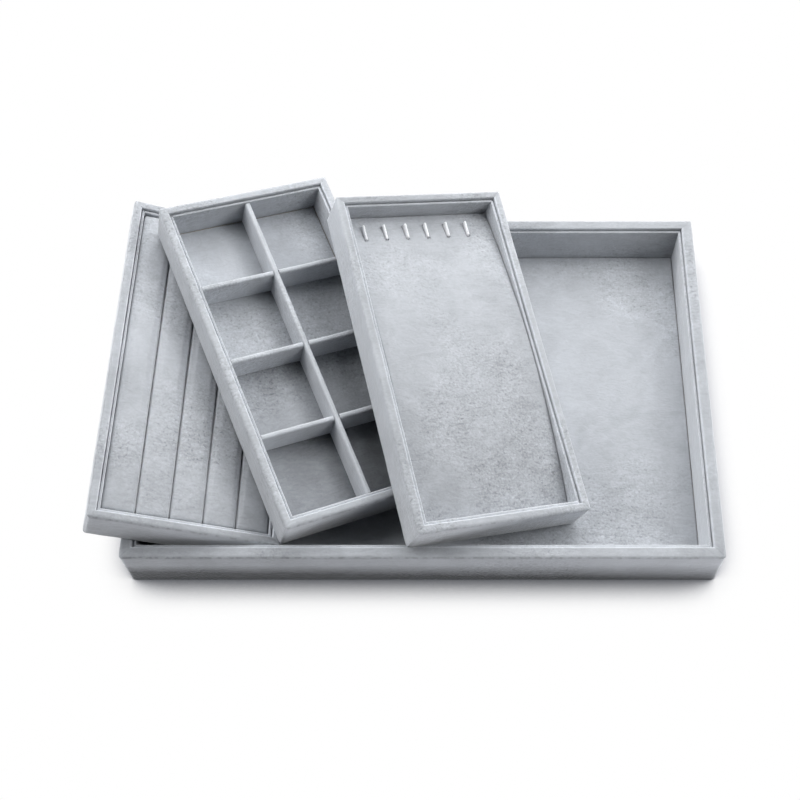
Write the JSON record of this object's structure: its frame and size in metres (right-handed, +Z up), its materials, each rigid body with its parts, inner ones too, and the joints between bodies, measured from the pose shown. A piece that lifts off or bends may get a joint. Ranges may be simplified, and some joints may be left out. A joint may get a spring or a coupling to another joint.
{
  "type": "jewelry tray",
  "caption": "Velvet display tray with fanned insert trays: a ring tray with foam rolls, a tray with lapped dividers and a pendant tray with an arched, slitted panel.",
  "frame": {"origin": "middle of the large tray's underside", "axes": "+X along the large tray to the right, +Y towards its back, +Z up"},
  "size_m": [0.3691, 0.2542, 0.089],
  "materials": {
    "wall_velvet": "light cool-grey velvet with a brushed, cloudy nap",
    "liner_velvet": "light cool-grey velvet, nap upright",
    "pad_velvet": "light cool-grey velvet, nap brushed about",
    "roll_velvet": "velvet drawn over soft foam",
    "divider_velvet": "velvet glued over thin board",
    "panel_velvet": "velvet drawn over a bent board",
    "strap": "pale velvet ribbon",
    "underside_felt": "thin pressed felt",
    "board": "plain grey board"
  },
  "bodies": {
    "large_tray": {"large_tray_base_board": "board", "large_tray_floor_pad": "pad_velvet", "large_tray_liner_back": "liner_velvet", "large_tray_liner_front": "liner_velvet", "large_tray_liner_left": "liner_velvet", "large_tray_liner_right": "liner_velvet", "large_tray_underside_felt": "underside_felt", "large_tray_wall_back": "wall_velvet", "large_tray_wall_front": "wall_velvet", "large_tray_wall_left": "wall_velvet", "large_tray_wall_right": "wall_velvet"},
    "ring_tray": {"ring_tray_base_board": "board", "ring_tray_liner_back": "liner_velvet", "ring_tray_liner_front": "liner_velvet", "ring_tray_liner_left": "liner_velvet", "ring_tray_liner_right": "liner_velvet", "ring_tray_roll_1": "roll_velvet", "ring_tray_roll_2": "roll_velvet", "ring_tray_roll_3": "roll_velvet", "ring_tray_roll_4": "roll_velvet", "ring_tray_roll_5": "roll_velvet", "ring_tray_underside_felt": "underside_felt", "ring_tray_wall_back": "wall_velvet", "ring_tray_wall_front": "wall_velvet", "ring_tray_wall_left": "wall_velvet", "ring_tray_wall_right": "wall_velvet"},
    "grid_tray": {"grid_tray_base_board": "board", "grid_tray_cross_divider_1": "divider_velvet", "grid_tray_cross_divider_2": "divider_velvet", "grid_tray_cross_divider_3": "divider_velvet", "grid_tray_floor_pad": "pad_velvet", "grid_tray_liner_back": "liner_velvet", "grid_tray_liner_front": "liner_velvet", "grid_tray_liner_left": "liner_velvet", "grid_tray_liner_right": "liner_velvet", "grid_tray_long_divider": "divider_velvet", "grid_tray_underside_felt": "underside_felt", "grid_tray_wall_back": "wall_velvet", "grid_tray_wall_front": "wall_velvet", "grid_tray_wall_left": "wall_velvet", "grid_tray_wall_right": "wall_velvet"},
    "pendant_tray": {"pendant_tray_arched_panel": "panel_velvet", "pendant_tray_back_batten": "board", "pendant_tray_back_rib": "board", "pendant_tray_base_board": "board", "pendant_tray_front_batten": "board", "pendant_tray_front_rib": "board", "pendant_tray_liner_back": "liner_velvet", "pendant_tray_liner_front": "liner_velvet", "pendant_tray_liner_left": "liner_velvet", "pendant_tray_liner_right": "liner_velvet", "pendant_tray_strap_hooks": "strap", "pendant_tray_underside_felt": "underside_felt", "pendant_tray_wall_back": "wall_velvet", "pendant_tray_wall_front": "wall_velvet", "pendant_tray_wall_left": "wall_velvet", "pendant_tray_wall_right": "wall_velvet"}
  },
  "joints": [
    {"name": "ring_tray_lift", "type": "slide", "parent": "large_tray", "child": "ring_tray", "axis": [0, 0, 1], "range_m": [0, 0.1]},
    {"name": "grid_tray_lift", "type": "slide", "parent": "ring_tray", "child": "grid_tray", "axis": [0, 0, 1], "range_m": [0, 0.1]},
    {"name": "pendant_tray_lift", "type": "slide", "parent": "grid_tray", "child": "pendant_tray", "axis": [0, 0, 1], "range_m": [0, 0.1]}
  ]
}
